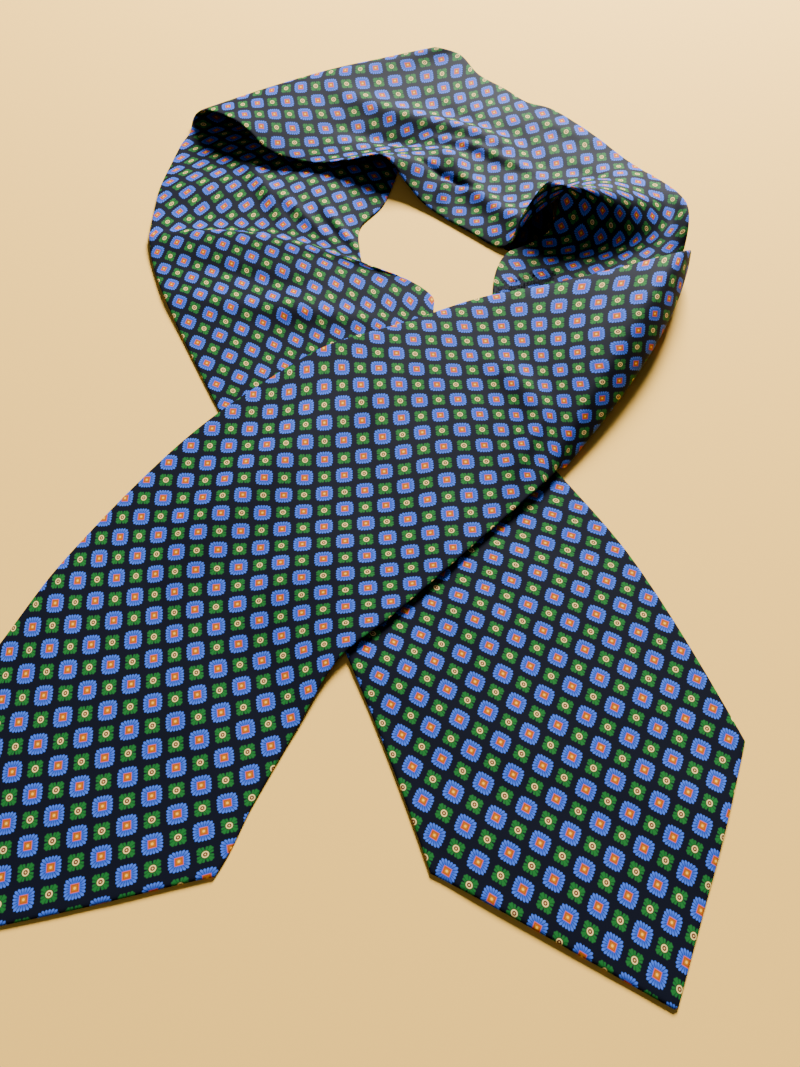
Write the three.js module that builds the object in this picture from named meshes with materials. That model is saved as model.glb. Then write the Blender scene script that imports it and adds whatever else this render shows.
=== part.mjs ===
// A bias-cut silk cravat, dropped on a table: one band with pointed ends, lying in an open loop.
// The right tail runs under the crossing, the left stretch climbs to the first fold, the neck
// stretch lies back over it, rises in a tunnel on the inner side of its turn, and the front tail
// rolls over the second fold and crosses on top. Millimetres, +Z up, the table at z = 0.
import * as THREE from 'three';

// The cut
const WIDTH = 152; // flat, from edge to edge
const TIP = WIDTH / 2; // length of the point, with a right angle at the tip
const WALL = 2; // both silk layers and the interlining, as one wall
const SEAM = 0.5; // gap between two stretches along the middle, less on the inside of a turn
const SNAP = 0.7; // an underside nearer the table than this lies flat on it

// The grid
const ACROSS = 12; // quads from the left edge to the right one
const STEP = 12; // longest quad along the band

// The band, from the right tip to the left one. A row is one line across the cloth, through
// its left edge, its middle and its right edge, as seen by one who walks from the right tip.
// The first and the last row lie across the points of the tips.
const SECTIONS = [
  { name: 'right_tip', left: [34, -50, 1], middle: [104, -24, 1], right: [174, 3, 1] },
  { name: 'right_corners', left: [12, 24, 1], middle: [83, 50, 1.5], right: [152, 77, 1] },
  { name: 'right_tail', left: [-22, 109, 1], middle: [48, 136, 1.6], right: [118, 163, 1] },
  { name: 'under_edge', left: [-51, 167, 1], middle: [17, 193, 1], right: [85, 217, 1] },
  { name: 'under_crossing', left: [-73, 208, 1], middle: [-7, 234, 1], right: [57, 254, 1] },
  { name: 'left_start', left: [-102, 260, 1], middle: [-36, 290, 1], right: [30, 308, 1] },
  { name: 'left_low', left: [-127, 308, 1.2], middle: [-52, 324, 3], right: [21, 334, 1.5] },
  { name: 'left_belly', left: [-146, 347, 1.5], middle: [-66, 352, 4], right: [20, 349, 2] },
  { name: 'tuck_rise', left: [-158, 376, 2], middle: [-78, 378, 6], right: [5, 362, 3] },
  { name: 'tuck_crest', left: [-164, 400, 3.5], middle: [-88, 398, 7], right: [-14, 369, 4.5] },
  { name: 'tuck_foot', left: [-165, 409, 2.5], middle: [-89, 405, 2], right: [-22, 374, 1.5] },
  { name: 'left_hollow', left: [-166, 426, 1.5], middle: [-92, 420, 1], right: [-26, 390, 1] },
  { name: 'left_high', left: [-166, 450, 2], middle: [-90, 452, 2.5], right: [-26, 414, 1] },
  { name: 'left_top', left: [-163, 474, 2], middle: [-82, 486, 1], right: [-10, 440, 1] },
  { name: 'under_fold', left: [-159, 499, 1.5], middle: [-74, 520, 1], right: [4, 500, 1] },
  { name: 'fold_low', left: [-154, 518, 1.5], middle: [-64, 553, 1.5], right: [20, 590, 1.5] },
  { name: 'fold_side', left: [-151, 530, 6], middle: [-61, 573, 8.5], right: [31, 612, 7] },
  { name: 'fold_top', left: [-138, 518, 17], middle: [-58, 566, 16], right: [29, 606, 13.5] },
  { name: 'neck_start', left: [-113, 502, 17.5], middle: [-38, 545, 12], right: [47, 605, 9] },
  { name: 'neck_back', left: [-91, 482, 10], middle: [-14, 528, 7], right: [61, 587, 4] },
  { name: 'neck_left', left: [-62, 475, 6], middle: [10, 513, 5.5], right: [81, 570, 2.5] },
  { name: 'arch_foot', left: [-38, 472, 10], middle: [30, 502, 7], right: [96, 552, 3] },
  { name: 'arch_top', left: [-12, 467, 17], middle: [50, 488, 7], right: [113, 541, 4.5] },
  { name: 'arch_end', left: [4, 450, 8], middle: [65, 470, 5], right: [132, 521, 4] },
  { name: 'neck_right', left: [18, 433, 2.5], middle: [80, 455, 5], right: [147, 502, 3.5] },
  { name: 'tunnel_foot', left: [45, 409, 2], middle: [98, 441, 7], right: [160, 482, 3.5] },
  { name: 'tunnel_rise', left: [68, 392, 3], middle: [110, 431, 15], right: [170, 468, 3.5] },
  { name: 'tunnel_wall', left: [80, 410, 15], middle: [119, 425, 22], right: [177, 458, 3.5] },
  { name: 'tunnel_ridge', left: [94, 421, 29], middle: [129, 417, 26.5], right: [182, 447, 4] },
  { name: 'tunnel_lip', left: [101, 416, 25], middle: [141, 411, 22], right: [185, 438, 5] },
  { name: 'tunnel_drop', left: [101, 410, 15], middle: [144, 402, 14], right: [187, 430, 6] },
  { name: 'tunnel_base', left: [97, 402, 8], middle: [144, 395, 8], right: [188, 423, 7] },
  { name: 'pocket', left: [85, 395, 4], middle: [138, 388, 4], right: [188, 414, 7.5] },
  { name: 'pocket_floor', left: [68, 386, 2.5], middle: [129, 379, 1.5], right: [187, 404, 6] },
  { name: 'lower_start', left: [59, 362, 1], middle: [121, 360, 1], right: [185, 394, 3] },
  { name: 'lower_turn', left: [58, 318, 1], middle: [119, 334, 1], right: [182, 386, 1] },
  { name: 'under_roll', left: [66, 272, 1], middle: [124, 309, 1], right: [178, 377, 1] },
  { name: 'roll_low', left: [84, 236, 1], middle: [135, 296, 2], right: [176, 369, 3] },
  { name: 'roll_side', left: [88, 221, 2.8], middle: [149, 303, 13], right: [181, 376, 15] },
  { name: 'roll_top', left: [84, 218, 5], middle: [135, 303, 25], right: [171, 362, 27] },
  { name: 'front_start', left: [78, 211, 5.5], middle: [108, 287, 20], right: [136, 357, 20] },
  { name: 'front_slope', left: [70, 203, 5.5], middle: [83, 277, 13], right: [96, 352, 12] },
  { name: 'front_level', left: [58, 192, 5], middle: [54, 266, 7.5], right: [50, 345, 5.5] },
  { name: 'front_crossing', left: [40, 175, 5], middle: [20, 249, 5], right: [2, 324, 5] },
  { name: 'front_middle', left: [18, 154, 5], middle: [-12, 230, 4.2], right: [-43, 306, 4.5] },
  { name: 'front_edge', left: [-6, 132, 4.8], middle: [-44, 203, 3.8], right: [-79, 277, 4] },
  { name: 'front_leaving', left: [-29, 112, 4], middle: [-72, 176, 3], right: [-112, 245, 3.5] },
  { name: 'left_tail', left: [-46, 81, 1.5], middle: [-95, 143, 1.2], right: [-144, 204, 1.2] },
  { name: 'left_shoulder', left: [-62, 50, 1], middle: [-116, 106, 1.2], right: [-171, 160, 1] },
  { name: 'left_corners', left: [-75, 22, 1], middle: [-137, 62, 1], right: [-197, 105, 1] },
  { name: 'left_tip', left: [-119, -42, 1], middle: [-180, 0, 1], right: [-241, 43, 1] },
];

// The stretches that show, cut from each other where another layer hides the join.
const STRETCHES = [
  { name: 'right_tail', from: 'right_tip', to: 'under_crossing', color: '#2b3350' },
  { name: 'left_stretch', from: 'under_crossing', to: 'under_fold', color: '#2f3a5c' },
  { name: 'neck_stretch', from: 'under_fold', to: 'under_roll', color: '#34406a' },
  { name: 'front_tail', from: 'under_roll', to: 'left_tip', color: '#2b3350' },
];

// The largest folds and hollows within a stretch, each along a line from one place on the
// cloth to another: the share of the width, then the section. A hollow has a minus height.
const CREASES = [
  { from: [0.5, 'neck_start'], to: [0.66, 'arch_end'], height: 5, halfWidth: 10 },
  { from: [0.34, 'neck_back'], to: [0.44, 'arch_top'], height: -4, halfWidth: 10 },
  { from: [0.42, 'arch_foot'], to: [0.16, 'tunnel_wall'], height: 4, halfWidth: 9 },
  { from: [0.8, 'arch_foot'], to: [0.62, 'tunnel_foot'], height: -2, halfWidth: 9 },
  { from: [0.3, 'left_low'], to: [0.62, 'left_belly'], height: 2, halfWidth: 10 },
  { from: [0.72, 'front_middle'], to: [0.66, 'left_tail'], height: 3, halfWidth: 16 },
  { from: [0.3, 'front_slope'], to: [0.12, 'front_level'], height: 2.5, halfWidth: 10 },
];

// Point of a section at share u of the width: a parabola through its three points.
function across(section, u) {
  const leftPart = (1 - u) * (1 - 2 * u);
  const middlePart = 4 * u * (1 - u);
  const rightPart = u * (2 * u - 1);
  return new THREE.Vector3(
    ...[0, 1, 2].map(
      (k) => leftPart * section.left[k] + middlePart * section.middle[k] + rightPart * section.right[k],
    ),
  );
}

// Place of each section along the band: the mean way from the one before, over the width.
const stations = [0];
for (let i = 1; i < SECTIONS.length; i += 1) {
  const way = [0, 0.5, 1]
    .map((u) => across(SECTIONS[i], u).distanceTo(across(SECTIONS[i - 1], u)))
    .reduce((sum, distance) => sum + distance / 3, 0);
  stations.push(stations[i - 1] + way);
}

const stationOf = (name) => stations[SECTIONS.findIndex((section) => section.name === name)];

// Rise of the cloth at a crease: a bell across its line that fades out towards its two ends.
function rise(crease, u, s) {
  const place = new THREE.Vector2(u * WIDTH, s);
  const start = new THREE.Vector2(crease.from[0] * WIDTH, stationOf(crease.from[1]));
  const line = new THREE.Vector2(crease.to[0] * WIDTH, stationOf(crease.to[1])).sub(start);
  const way = place.clone().sub(start);
  const t = THREE.MathUtils.clamp(way.dot(line) / line.lengthSq(), 0, 1);
  const aside = way.addScaledVector(line, -t).length() / crease.halfWidth;
  return crease.height * Math.exp(-(aside ** 2)) * Math.sin(Math.PI * (0.1 + 0.8 * t));
}

// Middle of the cloth at share u of the width and distance s along the band: a smooth cubic
// through the sections, with the slope at each one taken from its two neighbours.
function cloth(u, s) {
  const last = SECTIONS.length - 1;
  let i = 0;
  while (i < last - 1 && stations[i + 1] < s) i += 1;
  const slope = (k) => {
    const before = Math.max(k - 1, 0);
    const after = Math.min(k + 1, last);
    const change = across(SECTIONS[after], u).sub(across(SECTIONS[before], u));
    return change.divideScalar(stations[after] - stations[before]);
  };
  const length = stations[i + 1] - stations[i];
  const t = THREE.MathUtils.clamp((s - stations[i]) / length, 0, 1);
  const point = across(SECTIONS[i], u).multiplyScalar((1 + 2 * t) * (1 - t) ** 2);
  point.addScaledVector(slope(i), length * t * (1 - t) ** 2);
  point.addScaledVector(across(SECTIONS[i + 1], u), t * t * (3 - 2 * t));
  point.addScaledVector(slope(i + 1), length * t * t * (t - 1));
  for (const crease of CREASES) point.z += rise(crease, u, s);
  return point;
}

// Distances along the band at which a stretch has a line of points.
function linesOf(stretch) {
  const start = stationOf(stretch.from) + (stretch.from === 'right_tip' ? 0 : SEAM / 2);
  const end = stationOf(stretch.to) - (stretch.to === 'left_tip' ? 0 : SEAM / 2);
  const stops = [start, ...stations.filter((s) => s > start && s < end), end];
  const lines = [start];
  for (let i = 1; i < stops.length; i += 1) {
    const gap = stops[i] - stops[i - 1];
    const count = Math.max(2, Math.ceil(gap / STEP));
    for (let k = 1; k <= count; k += 1) lines.push(stops[i - 1] + (gap * k) / count);
  }
  return lines;
}

// A line of points bends back to the corners at a tip, and less and less away from it.
function alongAt(stretch, s, u) {
  const bend = TIP * Math.abs(2 * u - 1);
  const start = stationOf(stretch.from);
  const end = stationOf(stretch.to);
  if (stretch.from === 'right_tip') return s + (bend * (end - s)) / (end - start);
  if (stretch.to !== 'left_tip') return s;
  const straight = stationOf('front_crossing');
  return s - bend * Math.max(0, (s - straight) / (end - straight));
}

// Closed wall around a stretch: an upper and a lower sheet half a wall from its middle,
// joined around the rim. What comes near the table lies flat on it.
function wallOf(stretch) {
  const lines = linesOf(stretch);
  const columns = ACROSS + 1;
  const reach = 0.5;
  const upper = [];
  const lower = [];
  lines.forEach((line) => {
    for (let j = 0; j < columns; j += 1) {
      const u = j / ACROSS;
      const s = alongAt(stretch, line, u);
      const side = 0.01;
      const wide = cloth(Math.min(u + side, 1), s).sub(cloth(Math.max(u - side, 0), s));
      const long = cloth(u, s + reach).sub(cloth(u, s - reach));
      const out = wide.cross(long).normalize();
      const middle = cloth(u, s);
      [[upper, WALL / 2], [lower, -WALL / 2]].forEach(([sheet, offset]) => {
        const point = middle.clone().addScaledVector(out, offset);
        if (point.z < SNAP) point.z = 0;
        sheet.push(point);
      });
    }
  });

  const points = [...upper, ...lower];
  const base = upper.length;
  const at = (i, j) => i * columns + j;
  const faces = [];
  const quad = (a, b, c, d) => faces.push(a, b, c, a, c, d);
  for (let i = 0; i + 1 < lines.length; i += 1) {
    for (let j = 0; j < ACROSS; j += 1) {
      quad(at(i, j), at(i, j + 1), at(i + 1, j + 1), at(i + 1, j));
      quad(base + at(i, j), base + at(i + 1, j), base + at(i + 1, j + 1), base + at(i, j + 1));
    }
    quad(at(i, 0), at(i + 1, 0), base + at(i + 1, 0), base + at(i, 0));
    quad(at(i + 1, ACROSS), at(i, ACROSS), base + at(i, ACROSS), base + at(i + 1, ACROSS));
  }
  const end = lines.length - 1;
  for (let j = 0; j < ACROSS; j += 1) {
    quad(at(0, j + 1), at(0, j), base + at(0, j), base + at(0, j + 1));
    quad(at(end, j), at(end, j + 1), base + at(end, j + 1), base + at(end, j));
  }
  const geometry = new THREE.BufferGeometry();
  geometry.setAttribute(
    'position',
    new THREE.Float32BufferAttribute(points.flatMap((p) => [p.x, p.y, p.z]), 3),
  );
  geometry.setIndex(faces);
  geometry.computeVertexNormals();
  return geometry;
}

const group = new THREE.Group();
for (const stretch of STRETCHES) {
  const silk = new THREE.MeshStandardMaterial({ color: stretch.color, roughness: 0.45, metalness: 0 });
  const mesh = new THREE.Mesh(wallOf(stretch), silk);
  mesh.name = stretch.name;
  group.add(mesh);
}

// The origin is the middle of the ground that the cravat covers.
const middle = new THREE.Box3().setFromObject(group).getCenter(new THREE.Vector3());
for (const mesh of group.children) mesh.geometry.translate(-middle.x, -middle.y, 0);

export default group;
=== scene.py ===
"""A bias-cut silk cravat, dropped on a pale floor in an open loop with its tails crossed."""

import math
import bpy
import numpy as np
from bpy.props import FloatProperty, FloatVectorProperty, IntProperty, PointerProperty
from mathutils import Matrix, Vector


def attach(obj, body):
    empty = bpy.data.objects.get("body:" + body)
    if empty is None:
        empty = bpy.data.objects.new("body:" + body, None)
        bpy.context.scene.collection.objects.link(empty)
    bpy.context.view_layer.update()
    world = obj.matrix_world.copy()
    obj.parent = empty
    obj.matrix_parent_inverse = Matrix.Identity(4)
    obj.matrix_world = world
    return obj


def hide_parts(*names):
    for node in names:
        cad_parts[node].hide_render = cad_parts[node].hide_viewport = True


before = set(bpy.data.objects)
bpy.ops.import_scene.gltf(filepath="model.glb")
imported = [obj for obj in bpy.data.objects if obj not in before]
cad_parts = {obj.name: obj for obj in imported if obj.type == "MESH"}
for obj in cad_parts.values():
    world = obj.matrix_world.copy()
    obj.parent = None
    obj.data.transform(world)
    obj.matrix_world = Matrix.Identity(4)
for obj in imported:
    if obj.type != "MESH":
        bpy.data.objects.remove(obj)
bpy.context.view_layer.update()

bl_info = {
    "name": "Silk Cravat",
    "version": (1, 0, 0),
    "blender": (4, 5, 0),
    "location": "View3D > Sidebar > Cravat",
    "description": "A dropped silk cravat with a woven sheen and a small foulard repeat",
    "category": "Object",
}

MM = 0.001

# The cut, in millimetres: a band with a right-angled point at each end.
WIDTH = 152.0
TIP = WIDTH / 2

# The sections' own origin in the row frame, and how much lower the thin silk lies than the
# middle of the 2 mm wall that stands for it.
TABLE_X = 4.49
TABLE_Y = -294.35
WALL_HALF = 1.0

# A row is one line across the cloth: its name and the places of its left edge, its middle and
# its right edge, as seen by one who walks from the right tip.
SECTIONS = (
    ("right_tip", (34, -50, 1), (104, -24, 1), (174, 3, 1)),
    ("right_corners", (12, 24, 1), (83, 50, 1.5), (152, 77, 1)),
    ("right_tail", (-22, 109, 1), (48, 136, 1.6), (118, 163, 1)),
    ("under_edge", (-51, 167, 1), (17, 193, 1), (85, 217, 1)),
    ("under_crossing", (-73, 208, 1), (-7, 234, 1), (57, 254, 1)),
    ("left_start", (-102, 260, 1), (-36, 290, 1), (30, 308, 1)),
    ("left_low", (-127, 308, 1.2), (-52, 324, 3), (21, 334, 1.5)),
    ("left_belly", (-146, 347, 1.5), (-66, 352, 4), (20, 349, 2)),
    ("tuck_rise", (-158, 376, 2), (-78, 378, 6), (5, 362, 3)),
    ("tuck_crest", (-164, 400, 3.5), (-88, 398, 7), (-14, 369, 4.5)),
    ("tuck_foot", (-165, 409, 2.5), (-89, 405, 2), (-22, 374, 1.5)),
    ("left_hollow", (-166, 426, 1.5), (-92, 420, 1), (-26, 390, 1)),
    ("left_high", (-166, 450, 2), (-90, 452, 2.5), (-26, 414, 1)),
    ("left_top", (-163, 474, 2), (-82, 486, 1), (-10, 440, 1)),
    ("under_fold", (-159, 499, 1.5), (-74, 520, 1), (4, 500, 1)),
    ("fold_low", (-154, 518, 1.5), (-64, 553, 1.5), (20, 590, 1.5)),
    ("fold_side", (-151, 530, 6), (-61, 573, 8.5), (31, 612, 7)),
    ("fold_top", (-138, 518, 17), (-58, 566, 16), (29, 606, 13.5)),
    ("neck_start", (-113, 502, 17.5), (-38, 545, 12), (47, 605, 9)),
    ("neck_back", (-91, 482, 10), (-14, 528, 7), (61, 587, 4)),
    ("neck_left", (-62, 475, 6), (10, 513, 5.5), (81, 570, 2.5)),
    ("arch_foot", (-38, 472, 10), (30, 502, 7), (96, 552, 3)),
    ("arch_top", (-12, 467, 17), (50, 488, 7), (113, 541, 4.5)),
    ("arch_end", (4, 450, 8), (65, 470, 5), (132, 521, 4)),
    ("neck_right", (18, 433, 2.5), (80, 455, 5), (147, 502, 3.5)),
    ("tunnel_foot", (45, 409, 2), (98, 441, 7), (160, 482, 3.5)),
    ("tunnel_rise", (68, 392, 3), (110, 431, 15), (170, 468, 3.5)),
    ("tunnel_wall", (80, 410, 15), (119, 425, 22), (177, 458, 3.5)),
    ("tunnel_ridge", (94, 421, 29), (129, 417, 26.5), (182, 447, 4)),
    ("tunnel_lip", (101, 416, 25), (141, 411, 22), (185, 438, 5)),
    ("tunnel_drop", (101, 410, 15), (144, 402, 14), (187, 430, 6)),
    ("tunnel_base", (97, 402, 8), (144, 395, 8), (188, 423, 7)),
    ("pocket", (85, 395, 4), (138, 388, 4), (188, 414, 7.5)),
    ("pocket_floor", (68, 386, 2.5), (129, 379, 1.5), (187, 404, 6)),
    ("lower_start", (59, 362, 1), (121, 360, 1), (185, 394, 3)),
    ("lower_turn", (58, 318, 1), (119, 334, 1), (182, 386, 1)),
    ("under_roll", (66, 272, 1), (124, 309, 1), (178, 377, 1)),
    ("roll_low", (84, 236, 1), (135, 296, 2), (176, 369, 3)),
    ("roll_side", (88, 221, 2.8), (149, 303, 13), (181, 376, 15)),
    ("roll_top", (84, 218, 5), (135, 303, 25), (171, 362, 27)),
    ("front_start", (78, 211, 5.5), (108, 287, 20), (136, 357, 20)),
    ("front_slope", (70, 203, 5.5), (83, 277, 13), (96, 352, 12)),
    ("front_level", (58, 192, 5), (54, 266, 7.5), (50, 345, 5.5)),
    ("front_crossing", (40, 175, 5), (20, 249, 5), (2, 324, 5)),
    ("front_middle", (18, 154, 5), (-12, 230, 4.2), (-43, 306, 4.5)),
    ("front_edge", (-6, 132, 4.8), (-44, 203, 3.8), (-79, 277, 4)),
    ("front_leaving", (-29, 112, 4), (-72, 176, 3), (-112, 245, 3.5)),
    ("left_tail", (-46, 81, 1.5), (-95, 143, 1.2), (-144, 204, 1.2)),
    ("left_shoulder", (-62, 50, 1), (-116, 106, 1.2), (-171, 160, 1)),
    ("left_corners", (-75, 22, 1), (-137, 62, 1), (-197, 105, 1)),
    ("left_tip", (-119, -42, 1), (-180, 0, 1), (-241, 43, 1)),
)

# How the cut lies on the sections: for the left edge, the middle and the right edge that show,
# the place across the cut and then along it. Where less than the whole width shows, the rest
# is rolled under.
PRINT = (
    ("right_tip", (-12, 74, 157), (-4, 1, 1)),
    ("right_corners", (-7, 73, 149), (73, 79, 83)),
    ("right_tail", (-11, 70, 147), (163, 170, 174)),
    ("under_edge", (-2, 75, 148), (231, 233, 236)),
    ("under_crossing", (-3, 74, 152), (278, 281, 284)),
    ("left_start", (-5, 73, 155), (339, 345, 347)),
    ("left_low", (-7, 73, 157), (384, 377, 376)),
    ("left_belly", (-8, 72, 157), (419, 400, 386)),
    ("tuck_rise", (-6, 72, 146), (447, 421, 400)),
    ("tuck_crest", (-3, 72, 142), (468, 442, 422)),
    ("tuck_foot", (-4, 72, 142), (473, 456, 438)),
    ("left_hollow", (-3, 71, 138), (485, 472, 459)),
    ("left_high", (-5, 67, 136), (505, 495, 482)),
    ("left_top", (-5, 67, 141), (531, 524, 508)),
    ("under_fold", (-3, 68, 140), (553, 564, 567)),
    ("fold_low", (0, 69, 140), (569, 605, 654)),
    ("fold_top", (5, 74, 138), (600, 642, 687)),
    ("neck_start", (5, 73, 137), (628, 666, 704)),
    ("neck_back", (7, 72, 137), (654, 689, 725)),
    ("neck_left", (9, 74, 136), (681, 714, 750)),
    ("arch_foot", (12, 72, 134), (705, 736, 770)),
    ("arch_top", (14, 72, 135), (734, 760, 785)),
    ("arch_end", (17, 71, 131), (757, 781, 808)),
    ("neck_right", (17, 71, 131), (780, 801, 826)),
    ("tunnel_foot", (19, 73, 130), (812, 825, 845)),
    ("tunnel_wall", (19, 73, 129), (861, 861, 868)),
    ("tunnel_ridge", (18, 73, 128), (882, 876, 878)),
    ("tunnel_drop", (23, 75, 127), (903, 900, 890)),
    ("pocket", (20, 73, 126), (930, 917, 904)),
    ("lower_start", (20, 71, 123), (975, 951, 925)),
    ("lower_turn", (20, 70, 120), (1019, 977, 933)),
    ("under_roll", (22, 69, 107), (1076, 1044, 972)),
    ("roll_low", (11, 16, 25), (1133, 1058, 983)),
    ("roll_side", (-1, 14, 36), (1136, 1043, 975)),
    ("roll_top", (3, 31, 46), (1141, 1048, 1003)),
    ("front_start", (6, 37, 67), (1154, 1074, 1030)),
    ("front_slope", (5, 47, 84), (1173, 1100, 1057)),
    ("front_level", (6, 59, 106), (1188, 1134, 1084)),
    ("front_crossing", (8, 70, 126), (1210, 1170, 1131)),
    ("front_middle", (8, 82, 142), (1241, 1201, 1177)),
    ("front_edge", (8, 89, 158), (1274, 1239, 1215)),
    ("front_leaving", (10, 90, 162), (1304, 1277, 1257)),
    ("left_tail", (9, 85, 158), (1339, 1316, 1306)),
    ("left_shoulder", (5, 82, 155), (1373, 1357, 1355)),
    ("left_corners", (-2, 74, 147), (1405, 1403, 1412)),
    ("left_tip", (-5, 74, 146), (1480, 1478, 1487)),
)

# The main creases: where each starts and ends on the cloth, as the share of the width and the
# section, its height, negative for a trough, and half its width.
CREASES = (
    ((0.5, "neck_start"), (0.66, "arch_end"), 5, 10),
    ((0.34, "neck_back"), (0.44, "arch_top"), -4, 10),
    ((0.42, "arch_foot"), (0.16, "tunnel_wall"), 4, 9),
    ((0.8, "arch_foot"), (0.62, "tunnel_foot"), -2, 9),
    ((0.3, "left_low"), (0.62, "left_belly"), 2, 10),
    ((0.72, "front_middle"), (0.66, "left_tail"), 3, 16),
    ((0.3, "front_slope"), (0.12, "front_level"), 2.5, 10),
)

# Small creases and puckers of the thin silk, given in the same way.
SMALL_CREASES = (
    ((0.48, "arch_foot"), (0.62, "neck_right"), 2.6, 5),
    ((0.18, "arch_top"), (0.3, "neck_right"), -2.2, 4),
    ((0.25, "arch_end"), (0.08, "neck_right"), 1.8, 4),
    ((0.7, "neck_back"), (0.74, "arch_top"), -1.8, 8),
    ((0.9, "arch_top"), (0.96, "neck_right"), 1.6, 6),
    ((0.75, "neck_right"), (0.8, "tunnel_ridge"), -2, 8),
    ((0.3, "left_top"), (0.62, "left_hollow"), 1.6, 5),
    ((0.5, "left_high"), (0.85, "left_hollow"), 1.8, 5),
    ((0.78, "left_high"), (1.0, "left_hollow"), 2.2, 5),
    ((0.85, "left_top"), (1.0, "left_high"), -1.6, 4),
    ((0.05, "left_belly"), (0.7, "left_low"), 2, 9),
    ((0.1, "tuck_rise"), (0.55, "left_belly"), -1.6, 8),
    ((0.66, "front_level"), (0.3, "front_slope"), 1.8, 7),
    ((0.9, "front_crossing"), (0.55, "front_middle"), 1.2, 9),
    ((0.3, "front_edge"), (0.36, "left_tail"), 1, 12),
    ((0.3, "right_corners"), (0.5, "under_edge"), 0.9, 14),
    ((1.0, "tunnel_wall"), (1.0, "lower_start"), 6, 12),
)

# The rolled-under edge on the right, between these sections: how far it reaches in and how
# much of its height it loses.
ROLLED = ("roll_low", "front_middle")
ROLLED_REACH = 8.0
ROLLED_DROP = 0.3

# The left edge under the tunnel's ridge is tucked in, between these sections.
TUCKED = ("neck_right", "tunnel_ridge")
TUCKED_WIDTH = 20.0
MOUTH = ("tunnel_foot", "tunnel_rise", "tunnel_drop", "pocket_floor")

# Each stretch: its node, the sections that it runs between, and what it lies on.
STRETCHES = (
    ("right_tail", "right_tip", "under_crossing", "laid", ()),
    ("left_stretch", "under_crossing", "under_fold", "laid", ()),
    ("neck_stretch", "under_fold", "under_roll", "folded", ("left_stretch_silk",)),
    ("front_tail", "under_roll", "left_tip", "folded", ("right_tail_silk", "left_stretch_silk")),
)


def parabolas(shares, left, middle, right):
    """Rows of points at the given shares of the width: a parabola through three points each."""
    u = np.asarray(shares)[None, :, None]
    left, middle, right = (np.array(points, float)[:, None] for points in (left, middle, right))
    return (1 - u) * (1 - 2 * u) * left + 4 * u * (1 - u) * middle + u * (2 * u - 1) * right


def section_places(shares):
    """Points of every section at the given shares of the width."""
    return parabolas(shares, *([row[k] for row in SECTIONS] for k in (1, 2, 3)))


def section_stations():
    """Distance of each section along the band: the running sum of the mean way between sections."""
    ends = section_places([0.0, 0.5, 1.0])
    ways = np.linalg.norm(np.diff(ends, axis=0), axis=2).mean(axis=1)
    return np.concatenate([[0.0], np.cumsum(ways)])


STATIONS = section_stations()
NAMES = [row[0] for row in SECTIONS]


def station_of(name):
    """Distance along the band of the section with this name."""
    return STATIONS[NAMES.index(name)]


def through_rows(values, stations, s):
    """Cubic Hermite curve through one value per row and column, read at distances s.

    The slope at a row is the change between its two neighbours over their distance.
    """
    n = len(stations)
    before = np.maximum(np.arange(n) - 1, 0)
    after = np.minimum(np.arange(n) + 1, n - 1)
    slope = (values[after] - values[before]) / (stations[after] - stations[before])[:, None, None]
    i = np.clip(np.searchsorted(stations, s, side="right") - 1, 0, n - 2)
    length = (stations[i + 1] - stations[i])[..., None]
    t = np.clip((s - stations[i])[..., None] / length, 0, 1)
    column = np.broadcast_to(np.arange(s.shape[1]), s.shape)
    start = values[i, column] * (1 + 2 * t) * (1 - t) ** 2 + slope[i, column] * length * t * (1 - t) ** 2
    end = values[i + 1, column] * t**2 * (3 - 2 * t) + slope[i + 1, column] * length * t**2 * (t - 1)
    return start + end


def crease_rise(shares, s, creases):
    """Sum of the creases: a bell across each one's line times a sine that fades at its ends."""
    x = np.broadcast_to(np.asarray(shares) * WIDTH, s.shape)
    total = np.zeros(s.shape)
    for (u0, start), (u1, end), height, half_width in creases:
        x0, y0 = u0 * WIDTH, station_of(start)
        dx, dy = u1 * WIDTH - x0, station_of(end) - y0
        t = np.clip(((x - x0) * dx + (s - y0) * dy) / (dx * dx + dy * dy), 0, 1)
        aside = np.hypot(x - x0 - t * dx, s - y0 - t * dy) / half_width
        total += height * np.exp(-(aside**2)) * np.sin(np.pi * (0.1 + 0.8 * t))
    return total


def spaced(length, step, fine_start, fine_end):
    """Distances from 0 to length, step apart, closer together at an end that is rounded."""
    fine = np.array([0.0, 0.08, 0.28, 0.6, 1.0, 1.6, 2.4])
    start = fine if fine_start else np.zeros(1)
    end = length - fine[::-1] if fine_end else np.array([length])
    count = max(int(round((end[0] - start[-1]) / step)), 2)
    return np.concatenate([start[:-1], np.linspace(start[-1], end[0], count + 1), end[1:]])


def stretch_grid(start_name, end_name, step):
    """Shares across and distances along of a stretch's grid, and the distance to the cloth's edge.

    At a tip the rows bend back to the corners, by the point's length times the share of the way
    from the middle, and they straighten evenly towards the stretch's other end.
    """
    start, end = station_of(start_name), station_of(end_name)
    at_start, at_end = start_name == NAMES[0], end_name == NAMES[-1]
    across = spaced(WIDTH, step, True, True)
    shares = across / WIDTH
    line = start + spaced(end - start, step, at_start, at_end)[:, None]
    bend = TIP * np.abs(2 * shares - 1)[None, :]
    edge = np.minimum(across, WIDTH - across)[None, :]
    s = line + 0 * bend
    if at_start:
        s = line + bend * (end - line) / (end - start)
        edge = np.minimum(edge, (s - start - bend) / math.sqrt(2))
    if at_end:
        straight = station_of("front_crossing")
        s = line - bend * np.maximum(line - straight, 0) / (end - straight)
        edge = np.minimum(edge, (end - bend - s) / math.sqrt(2))
    return shares, s, np.maximum(edge + 0 * s, 0)


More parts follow.
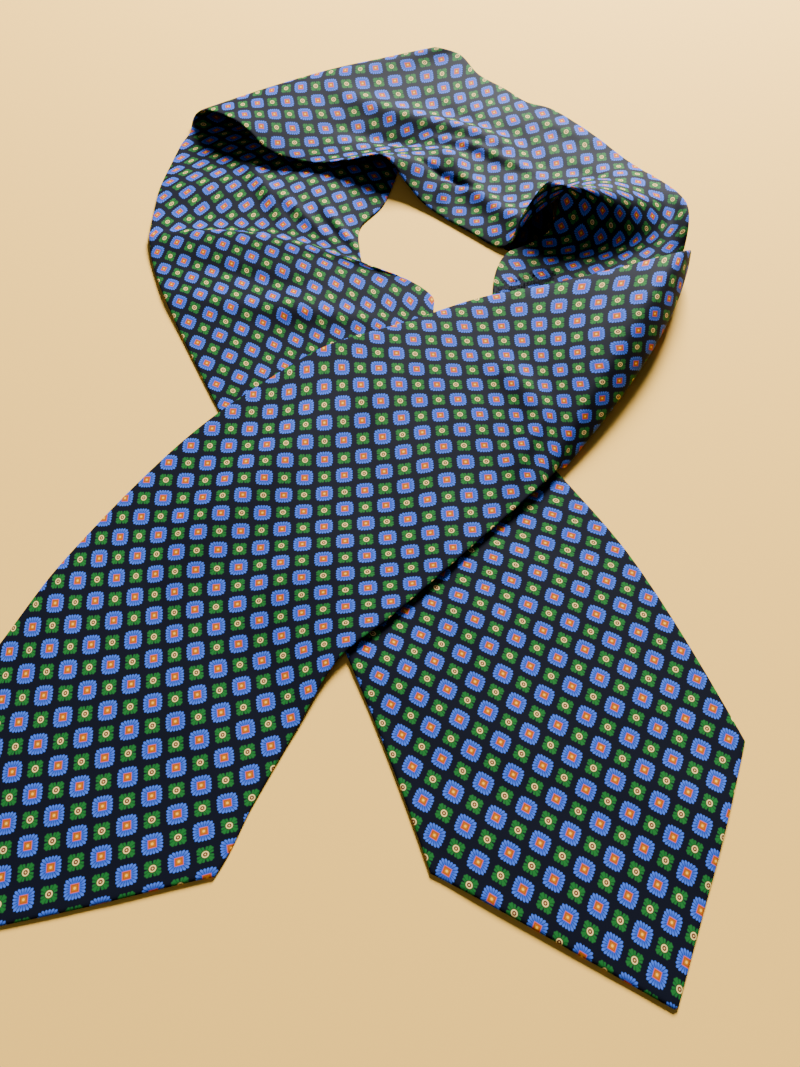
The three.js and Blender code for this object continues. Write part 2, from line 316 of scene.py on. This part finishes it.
def undulation(shares, s):
    """Faint waves of the lying silk: eight sines in seeded directions, 30 to 90 mm long."""
    random = np.random.default_rng(7)
    x = np.broadcast_to(np.asarray(shares) * WIDTH, s.shape)
    total = np.zeros(s.shape)
    for _ in range(8):
        heading, phase = random.uniform(0, 2 * math.pi, 2)
        length = random.uniform(30, 90)
        way = x * math.cos(heading) + s * math.sin(heading)
        total += np.sin(2 * math.pi * way / length + phase) * length / 90
    return total / 8


def rolled_drop(shares, s):
    """Share of its height that the rolled edge loses: a quarter circle over its reach."""
    start, end = (station_of(name) for name in ROLLED)
    near = np.clip(1 - (1 - np.asarray(shares)) * WIDTH / ROLLED_REACH, 0, 1)
    along = np.clip((s - start) / 20, 0, 1) * np.clip((end - s) / 60, 0, 1)
    return ROLLED_DROP * along * (1 - np.sqrt(1 - near**2))


def cloth_middle(shares, s, waves=0.0):
    """Middle surface of the silk in millimetres, at distances s along the band."""
    points = through_rows(section_places(shares), STATIONS, s)
    points[..., 2] += crease_rise(shares, s, CREASES)
    if waves:
        points[..., 2] += crease_rise(shares, s, SMALL_CREASES)
        points[..., 2] += waves * undulation(shares, s)
        points[..., 2] *= 1 - rolled_drop(shares, s)
    return points


def cut_place(shares, s):
    """Place on the flat cut, across and along, of each point at distances s along the band."""
    edges = ([(row[1][k], row[2][k]) for row in PRINT] for k in range(3))
    stations = np.array([station_of(row[0]) for row in PRINT])
    return through_rows(parabolas(shares, *edges), stations, s)


def unit(vectors):
    """The vectors at length one."""
    return vectors / np.maximum(np.linalg.norm(vectors, axis=-1, keepdims=True), 1e-9)


def silk_shell(name, middle, edge, cut, open_ends, props):
    """Closed thin shell around a middle surface in millimetres, with rounded edges.

    Two sheets lie half the thickness from the middle surface along its normal, times the
    square root of one minus the squared way into the rounded edge, so they meet at the rim.
    The first and the last row get a flat end where they are not an edge of the cloth.
    """
    out = unit(np.cross(np.gradient(middle, axis=1), np.gradient(middle, axis=0)))
    half = props.thickness / MM / 2
    middle[..., 2] = np.maximum(middle[..., 2], half)
    round_in = np.clip(1 - edge * MM / props.edge_radius, 0, 1)
    offset = (half * np.sqrt(1 - round_in**2))[..., None] * out
    upper, lower = middle + offset, middle - offset
    lower[..., 2] = np.maximum(lower[..., 2], 0)
    upper[..., 2] = np.maximum(upper[..., 2], lower[..., 2])

    rows, columns = edge.shape
    top = np.arange(rows * columns).reshape(rows, columns)
    shared = edge < 1e-6
    own = np.cumsum(~shared.ravel()).reshape(rows, columns) - 1 + rows * columns
    bottom = np.where(shared, top, own)
    points = np.concatenate([upper.reshape(-1, 3), lower[~shared]])
    uvs = np.concatenate([cut.reshape(-1, 2), cut[~shared]]) * MM

    def quads(grid):
        return np.stack([grid[:-1, :-1], grid[:-1, 1:], grid[1:, 1:], grid[1:, :-1]], axis=-1).reshape(-1, 4)

    faces = [quads(top), quads(bottom)[:, ::-1]]
    ends = [pair for pair, is_open in zip(((top[0], bottom[0]), (bottom[-1], top[-1])), open_ends) if is_open]
    for near, far in ends:
        faces.append(np.stack([near[1:-2], far[1:-2], far[2:-1], near[2:-1]], axis=-1))
    faces = np.concatenate(faces).tolist()
    for near, far in ends:
        faces += [[int(near[0]), int(far[1]), int(near[1])], [int(near[-1]), int(near[-2]), int(far[-2])]]

    points[:, 0] += TABLE_X
    points[:, 1] += TABLE_Y
    mesh = bpy.data.meshes.new(name)
    mesh.from_pydata((points * MM).tolist(), [], faces)
    layer = mesh.uv_layers.new(name="cut")
    corner = np.zeros(len(mesh.loops), np.int32)
    mesh.loops.foreach_get("vertex_index", corner)
    layer.data.foreach_set("uv", uvs[corner].astype(np.float32).ravel())
    mesh.polygons.foreach_set("use_smooth", np.ones(len(mesh.polygons), bool))
    mesh.set_sharp_from_angle(angle=math.radians(70))
    piece = bpy.data.objects.new(name, mesh)
    bpy.context.collection.objects.link(piece)
    return piece


def silk_stretch(name, start_name, end_name, props):
    """One stretch of the band as a thin shell, and its length on the cut."""
    shares, s, edge = stretch_grid(start_name, end_name, props.step / MM)
    middle = cloth_middle(shares, s, props.waves / MM)
    middle[..., 2] -= WALL_HALF - props.thickness / MM / 2
    cut = cut_place(shares, s)
    ends = (start_name != NAMES[0], end_name != NAMES[-1])
    return silk_shell(name, middle, edge, cut, ends, props), float(np.ptp(cut[..., 1])) * MM


def tucked_edge(name, props):
    """The left edge where it turns under the tunnel's ridge, and its length on the cut.

    It falls from the edge that shows to the floor by a squared share of the way, and goes
    inwards, or where the tunnel is open across its mouth to the edge on the far side.
    """
    start, end = (station_of(section) for section in TUCKED)
    foot, rise, drop, floor = (station_of(section) for section in MOUTH)
    along = spaced(end - start, props.step / MM, True, True)
    down = spaced(TUCKED_WIDTH, props.step / MM, True, True)
    s = (start + along)[:, None]

    def rim_at(stations):
        rim, within = (cloth_middle([share], stations)[:, 0] for share in (0.015, 0.1))
        inwards = within - rim
        inwards[:, 2] = 0
        return rim, unit(inwards)

    near, inwards = rim_at(s)
    across = np.clip((s - rise) / (end - rise), 0, 1)
    opposite, beyond = rim_at(floor + (drop - floor) * across)
    is_open = np.clip((s - foot) / (rise - foot), 0, 1)
    far = (near + 12 * inwards) * (1 - is_open) + (opposite + 4 * beyond) * is_open
    near = near + 1.5 * inwards
    way = (down / TUCKED_WIDTH)[None, :, None]
    middle = near[:, None] + (far - near)[:, None] * way
    top = np.maximum(near[:, 2] - 2, 1)[:, None]
    middle[..., 2] = 0.9 + (top - 0.9) * (1 - way[..., 0]) ** 2
    edge = np.minimum(
        np.minimum(down, TUCKED_WIDTH - down)[None, :], np.minimum(along, end - start - along)[:, None]
    )
    left = cut_place([0.0], s)
    cut = np.concatenate([left[..., :1] - down[None, :, None], left[..., 1:] + 0 * way], axis=-1)
    return silk_shell(name, middle, edge, cut, (False, False), props), float(np.ptp(cut[..., 1])) * MM


class Tone:
    """An output socket of a node tree. Arithmetic on it adds Math nodes to the tree."""

    def __init__(self, tree, socket=None):
        self.tree = tree
        self.socket = socket

    def node(self, kind, settings=None, values=None, output=0):
        """A new node: its settings are set first, then the values or links of its sockets."""
        made = self.tree.nodes.new(kind)
        for key, value in (settings or {}).items():
            setattr(made, key, value)
        for key, value in (values or {}).items():
            if isinstance(value, Tone):
                self.tree.links.new(value.socket, made.inputs[key])
            else:
                made.inputs[key].default_value = value
        return Tone(self.tree, made.outputs[output])

    def math(self, operation, *values, clamp=False):
        """A Math node on the given values, in their order."""
        return self.node(
            "ShaderNodeMath", {"operation": operation, "use_clamp": clamp}, dict(enumerate(values))
        )

    def __add__(self, other):
        return self.math("ADD", self, other)

    __radd__ = __add__

    def __mul__(self, other):
        return self.math("MULTIPLY", self, other)

    __rmul__ = __mul__

    def __sub__(self, other):
        return self.math("SUBTRACT", self, other)

    def __rsub__(self, other):
        return self.math("SUBTRACT", other, self)

    def __truediv__(self, other):
        return self.math("DIVIDE", self, other)

    def __pow__(self, other):
        return self.math("POWER", self, other)

    def __abs__(self):
        return self.math("ABSOLUTE", self)

    def below(self, limit, soft):
        """1 where the value is under the limit and 0 above it, over a soft step."""
        return self.math("ADD", (limit - self) * (1 / soft), 0.5, clamp=True)

    def mix(self, first, second):
        """The first colour where this is 0 and the second where it is 1."""
        return self.node(
            "ShaderNodeMix", {"data_type": "RGBA"}, {0: self, 6: first, 7: second}, output=2
        )


def linear(colour):
    """A colour with an alpha of one."""
    return (*colour[:3], 1.0)


def foulard_silk(props, name, shade):
    """Printed silk twill: two small motifs in turn on a grid that lies at 45 degrees to the band.

    Shade is the share of its colour that is lost: painted shade, for cloth that shows only as a dark inside because
    it lies in deep shadow.
    """
    material = bpy.data.materials.new(name)
    material.use_nodes = True
    tree = material.node_tree
    shader = tree.nodes["Principled BSDF"]
    make = Tone(tree)
    cut = make.node("ShaderNodeUVMap", {"uv_map": "cut"})
    x = make.node("ShaderNodeSeparateXYZ", values={0: cut})
    y = Tone(tree, x.socket.node.outputs[1])

    pitch = props.repeat * math.sqrt(2)
    first = (x + y) / pitch + 0.5
    second = (x - y) / pitch + 0.5
    a = make.math("FRACT", first) - 0.5
    b = make.math("FRACT", second) - 0.5
    cell = make.math("FLOOR", first) + make.math("FLOOR", second)
    leafy = make.math("FRACT", cell * 0.5) * 2.0
    size_a, size_b = abs(a), abs(b)
    box = make.math("MAXIMUM", size_a, size_b)
    thin = make.math("MINIMUM", size_a, size_b)
    radius = make.math("SQRT", a * a + b * b)
    angle = make.math("ARCTAN2", b, a)
    soft = props.print_blur

    petals = abs(make.math("SINE", angle * 10.0))
    rounded = (size_a**4.0 + size_b**4.0) ** 0.25
    flower = rounded.below(0.365 + petals * 0.06, soft)
    vein = petals.below(0.32, 0.4) * (1 - radius.below(0.22, 0.06))
    flower_colour = rounded.below(0.31, 0.12).mix(linear(props.blue_light), linear(props.blue))
    flower_colour = vein.mix(flower_colour, linear(props.blue_shade))
    flower_colour = box.below(0.172, soft).mix(flower_colour, linear(props.orange))
    flower_colour = box.below(0.128, soft).mix(flower_colour, linear(props.brown_dark))
    flower_colour = box.below(0.11, soft).mix(flower_colour, linear(props.gold))
    flower_colour = radius.below(0.052, soft).mix(flower_colour, linear(props.yellow))

    outer_lobe = make.math("SQRT", (box - 0.262) ** 2.0 + (thin - 0.2) ** 2.0)
    inner_lobe = make.math("SQRT", (box - 0.262) ** 2.0 + (thin - 0.085) ** 2.0)
    leaf = box.below(0.25, soft)
    leaf = make.math("MAXIMUM", leaf, outer_lobe.below(0.068, soft))
    leaf = make.math("MAXIMUM", leaf, inner_lobe.below(0.062, soft))
    leaf = leaf * (1 - thin.below(0.022, soft) * (1 - box.below(0.2, soft)))
    leaf_vein = abs(thin / (box + 0.001) - 0.53).below(0.07, 0.1) * (1 - radius.below(0.19, 0.06))
    leaf_colour = (leaf_vein * 0.6).mix(linear(props.green), linear(props.green_shade))
    leaf_colour = radius.below(0.172, 0.05).mix(leaf_colour, linear(props.green_shade))
    leaf_colour = radius.below(0.14, soft).mix(leaf_colour, linear(props.cream))
    leaf_colour = radius.below(0.095, soft).mix(leaf_colour, linear(props.brown_dark))
    leaf_colour = radius.below(0.03, soft).mix(leaf_colour, linear(props.cream))

    flower_colour = flower.mix(linear(props.ground), flower_colour)
    leaf_colour = leaf.mix(linear(props.ground), leaf_colour)
    colour = leafy.mix(flower_colour, leaf_colour)
    # Painted shade: the print is mixed towards black by the share given as shade.
    colour = make.node("ShaderNodeMix", {"data_type": "RGBA"}, {0: shade, 6: colour, 7: (0, 0, 0, 1)}, output=2)
    tree.links.new(colour.socket, shader.inputs["Base Color"])
    shader.inputs["Roughness"].default_value = 0.7
    shader.inputs["Specular IOR Level"].default_value = 0.05
    shader.inputs["Sheen Weight"].default_value = 0.015
    shader.inputs["Sheen Roughness"].default_value = 0.4
    return material


def srgb(red, green, blue):
    """A linear colour from 8-bit display values."""
    return tuple(
        c / 12.92 if c <= 0.04045 else ((c + 0.055) / 1.055) ** 2.4 for c in (red / 255, green / 255, blue / 255)
    )


def colour_property(name, description, default):
    """A colour that a user may change."""
    return FloatVectorProperty(
        name=name, description=description, subtype="COLOR", size=3, min=0, max=1, default=default
    )


class CravatSilk(bpy.types.PropertyGroup):
    """Sizes and colours of the silk."""

    thickness: FloatProperty(
        name="Thickness", description="Both silk layers together", default=0.0014, unit="LENGTH"
    )
    edge_radius: FloatProperty(
        name="Edge radius", description="Reach of the rounded, turned edge", default=0.0018, unit="LENGTH"
    )
    waves: FloatProperty(name="Waves", description="Height of the faint waves", default=0.0011, unit="LENGTH")
    step: FloatProperty(name="Grid step", description="Size of the mesh's quads", default=0.0017, unit="LENGTH")
    repeat: FloatProperty(
        name="Repeat", description="From one motif to the next along the print's grid", default=0.01005, unit="LENGTH"
    )
    print_blur: FloatProperty(
        name="Print blur", description="Softness of the print's outlines, in repeats", default=0.03
    )
    # Painted shade: the share of the print's colour taken away on the tucked edge, which lies in the tunnel's shadow.
    tunnel_painted_shade: FloatProperty(
        name="Inside shade", description="Colour lost inside the tunnel", default=0.93, subtype="FACTOR"
    )
    ground: colour_property("Ground", "Navy ground", srgb(12, 15, 27))
    blue: colour_property("Blue", "Flower", srgb(44, 78, 180))
    blue_light: colour_property("Light blue", "Flower's rim", srgb(64, 102, 206))
    blue_shade: colour_property("Dark blue", "Lines between the petals", srgb(20, 32, 96))
    orange: colour_property("Orange", "Square around the flower's heart", srgb(202, 84, 34))
    gold: colour_property("Gold", "Inside of the square", srgb(178, 98, 6))
    yellow: colour_property("Yellow", "Dot in the heart", srgb(255, 190, 50))
    green: colour_property("Green", "Leaves", srgb(30, 98, 40))
    green_shade: colour_property("Dark green", "Veins", srgb(12, 44, 22))
    cream: colour_property("Cream", "Ring", srgb(240, 214, 130))
    brown_dark: colour_property("Brown", "Inside of the ring", srgb(92, 40, 30))


class CravatStage(bpy.types.PropertyGroup):
    """Camera, light and floor."""

    lens: FloatProperty(name="Lens", description="Focal length on a 36 mm sensor", default=24.63)
    pitch: FloatProperty(
        name="Pitch", description="How far the camera looks down", default=math.radians(61), subtype="ANGLE"
    )
    height: FloatProperty(name="Height", description="Camera above the floor", default=0.327, unit="LENGTH")
    floor: colour_property("Floor", "Plain pale floor", srgb(255, 200, 88))
    key_power: FloatProperty(name="Key light", description="Power of the large soft light", default=250.0)
    fill_power: FloatProperty(name="Fill light", description="Power of the fill light", default=1.2)


class CRAVAT_OT_silk(bpy.types.Operator):
    """Make the four stretches of silk and the edge that is tucked under"""

    bl_idname = "cravat.silk"
    bl_label = "Silk"

    def execute(self, context):
        props = context.scene.cravat_silk
        material = foulard_silk(props, "foulard_silk", 0.0)
        # A copy of the print painted darker: painted shade for the tucked edge in the tunnel's mouth.
        inside = foulard_silk(props, "foulard_silk_painted_shade", props.tunnel_painted_shade)
        for node, start, end, held, rests_on in STRETCHES:
            piece, length = silk_stretch(f"{node}_silk", start, end, props)
            piece.data.materials.append(material)
            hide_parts(node)
            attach(piece, "root")
        piece, length = tucked_edge("tucked_edge_silk", props)
        # The tucked edge gets the print with painted shade, so the tunnel's mouth shows dark.
        piece.data.materials.append(inside)
        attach(piece, "root")
        return {"FINISHED"}


class CRAVAT_OT_stage(bpy.types.Operator):
    """Make the floor, the light and the camera"""

    bl_idname = "cravat.stage"
    bl_label = "Stage"

    def execute(self, context):
        props = context.scene.cravat_stage
        floor_mesh = bpy.data.meshes.new("floor")
        reach = 6.0
        corners = [(-reach, -reach, 0), (reach, -reach, 0), (reach, reach, 0), (-reach, reach, 0)]
        floor_mesh.from_pydata(corners, [], [(0, 1, 2, 3)])
        floor = bpy.data.objects.new("floor", floor_mesh)
        context.collection.objects.link(floor)
        floor.location.z = -0.0002
        paint = bpy.data.materials.new("floor_paint")
        paint.use_nodes = True
        paint.node_tree.nodes["Principled BSDF"].inputs["Base Color"].default_value = linear(props.floor)
        paint.node_tree.nodes["Principled BSDF"].inputs["Roughness"].default_value = 0.9
        floor_mesh.materials.append(paint)

        centre = Vector((0.0, 0.0, 0.0))
        for name, place, size, power in (
            ("key", (0.55, 1.9, 1.15), 0.7, props.key_power),
            ("fill", (-0.6, -0.6, 1.2), 0.9, props.fill_power),
        ):
            data = bpy.data.lights.new(name, "AREA")
            data.size = size
            data.energy = power
            light = bpy.data.objects.new(name, data)
            light.location = place
            light.rotation_euler = (centre - Vector(place)).to_track_quat("-Z", "Y").to_euler()
            context.collection.objects.link(light)
        world = bpy.data.worlds.new("studio")
        world.use_nodes = True
        world.node_tree.nodes["Background"].inputs["Color"].default_value = (1.0, 0.97, 0.92, 1)
        world.node_tree.nodes["Background"].inputs["Strength"].default_value = 0.05
        context.scene.world = world

        camera_data = bpy.data.cameras.new("camera")
        camera_data.lens = props.lens
        camera_data.sensor_width = 36
        camera_data.clip_start = 0.01
        camera = bpy.data.objects.new("camera", camera_data)
        camera.location = (TABLE_X * MM, TABLE_Y * MM, props.height)
        camera.rotation_euler = (math.pi / 2 - props.pitch, 0, 0)
        context.collection.objects.link(camera)
        context.scene.camera = camera
        return {"FINISHED"}


class CRAVAT_PT_panel(bpy.types.Panel):
    """The cravat's sizes and steps"""

    bl_label = "Cravat"
    bl_space_type = "VIEW_3D"
    bl_region_type = "UI"
    bl_category = "Cravat"

    def draw(self, context):
        for operator, group in (
            (CRAVAT_OT_silk, context.scene.cravat_silk),
            (CRAVAT_OT_stage, context.scene.cravat_stage),
        ):
            box = self.layout.box()
            box.operator(operator.bl_idname)
            for key in group.bl_rna.properties.keys():
                if key not in ("rna_type", "name"):
                    box.prop(group, key)


CLASSES = (CravatSilk, CravatStage, CRAVAT_OT_silk, CRAVAT_OT_stage, CRAVAT_PT_panel)


def register():
    for cls in CLASSES:
        bpy.utils.register_class(cls)
    bpy.types.Scene.cravat_silk = PointerProperty(type=CravatSilk)
    bpy.types.Scene.cravat_stage = PointerProperty(type=CravatStage)


def unregister():
    del bpy.types.Scene.cravat_stage
    del bpy.types.Scene.cravat_silk
    for cls in reversed(CLASSES):
        bpy.utils.unregister_class(cls)


def main():
    register()
    bpy.ops.cravat.silk()
    bpy.ops.cravat.stage()


if __name__ == "__main__":
    main()
